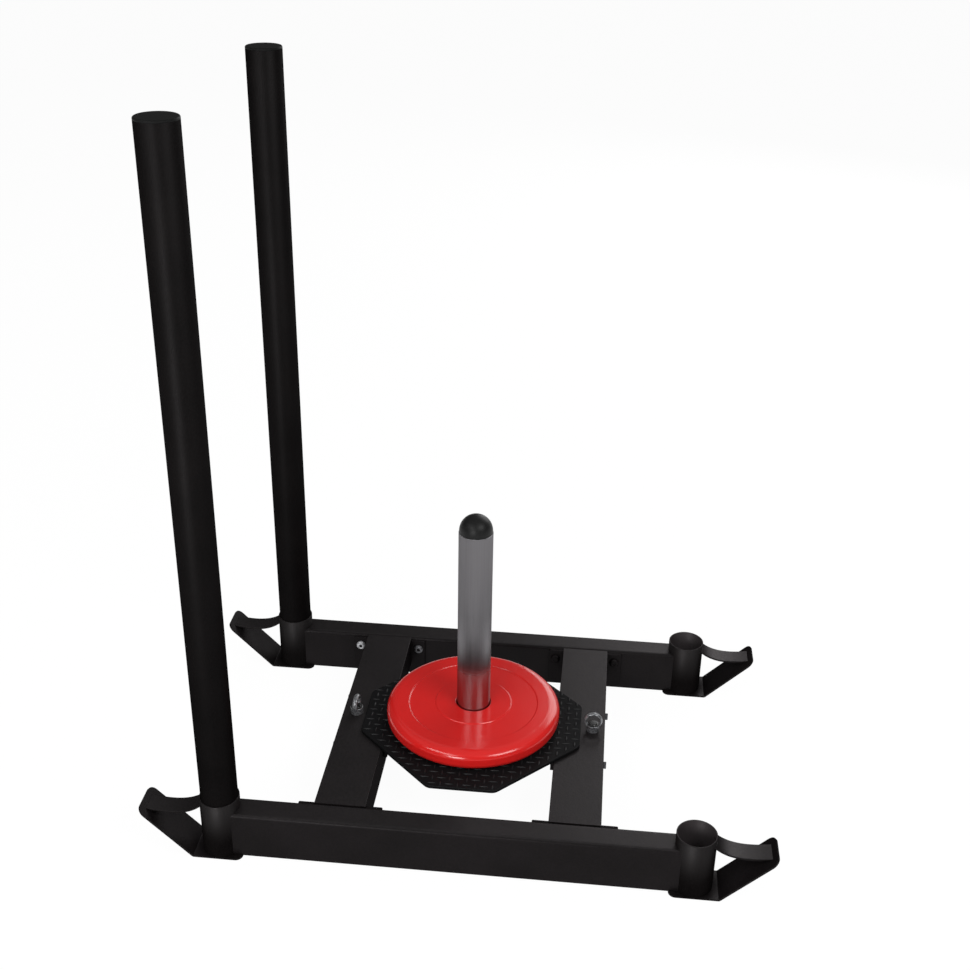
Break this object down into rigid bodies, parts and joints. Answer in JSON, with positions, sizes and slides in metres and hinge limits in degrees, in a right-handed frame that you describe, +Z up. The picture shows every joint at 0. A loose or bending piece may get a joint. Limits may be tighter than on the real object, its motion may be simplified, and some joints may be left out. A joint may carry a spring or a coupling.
{
  "type": "drag sled",
  "caption": "Conditioning sled on upturned skid shoes, with tube rails, crossbeams, a tread plate, a chromed weight post with a disc, and removable push poles.",
  "frame": {"origin": "on the floor under the middle of the frame", "axes": "+X along the rails towards the end with the empty sockets, +Y across towards the left rail, +Z up"},
  "size_m": [0.884, 0.528, 1.0245],
  "materials": {
    "black_coat": "satin black powder coat",
    "tread_coat": "satin black coat on tread plate",
    "chrome_plate": "polished",
    "zinc_plate": "bright zinc plate",
    "red_enamel": "gloss red enamel",
    "black_plastic": "smooth black plastic"
  },
  "bodies": {
    "frame": {"angle_front": "black_coat", "angle_rear": "black_coat", "beam_bolt_front_left": "zinc_plate", "beam_bolt_front_right": "zinc_plate", "beam_bolt_rear_left": "zinc_plate", "beam_bolt_rear_right": "zinc_plate", "beam_front": "black_coat", "beam_nut_front_left": "zinc_plate", "beam_nut_front_right": "zinc_plate", "beam_nut_rear_left": "zinc_plate", "beam_nut_rear_right": "zinc_plate", "beam_rear": "black_coat", "bolt_front_left_1": "black_coat", "bolt_front_left_2": "black_coat", "bolt_front_right_1": "black_coat", "bolt_front_right_2": "black_coat", "bolt_rear_left_1": "zinc_plate", "bolt_rear_left_2": "zinc_plate", "bolt_rear_right_1": "zinc_plate", "bolt_rear_right_2": "zinc_plate", "eye_bolt_front": "zinc_plate", "eye_bolt_rear": "zinc_plate", "flange_front_left": "black_coat", "flange_front_right": "black_coat", "flange_rear_left": "black_coat", "flange_rear_right": "black_coat", "post": "chrome_plate", "post_cap": "black_plastic", "rail_left": "black_coat", "rail_right": "black_coat", "shoe_front_left": "black_coat", "shoe_front_right": "black_coat", "shoe_rear_left": "black_coat", "shoe_rear_right": "black_coat", "socket_front_left": "black_coat", "socket_front_right": "black_coat", "socket_rear_left": "black_coat", "socket_rear_right": "black_coat", "spine": "black_coat", "strap_front_left": "black_coat", "strap_front_right": "black_coat", "strap_rear_left": "black_coat", "strap_rear_right": "black_coat", "tread_plate": "tread_coat"},
    "pole_left": {"pole_cap_left": "black_plastic", "pole_left": "black_coat"},
    "pole_right": {"pole_cap_right": "black_plastic", "pole_right": "black_coat"},
    "disc": {"weight_plate": "red_enamel"}
  },
  "joints": [
    {"name": "pole_left_lift", "type": "slide", "parent": "frame", "child": "pole_left", "axis": [0, 0, 1], "range_m": [0, 0.1]},
    {"name": "pole_right_lift", "type": "slide", "parent": "frame", "child": "pole_right", "axis": [0, 0, 1], "range_m": [0, 0.1]},
    {"name": "disc_lift", "type": "slide", "parent": "frame", "child": "disc", "axis": [0, 0, 1], "range_m": [0, 0.36]}
  ]
}
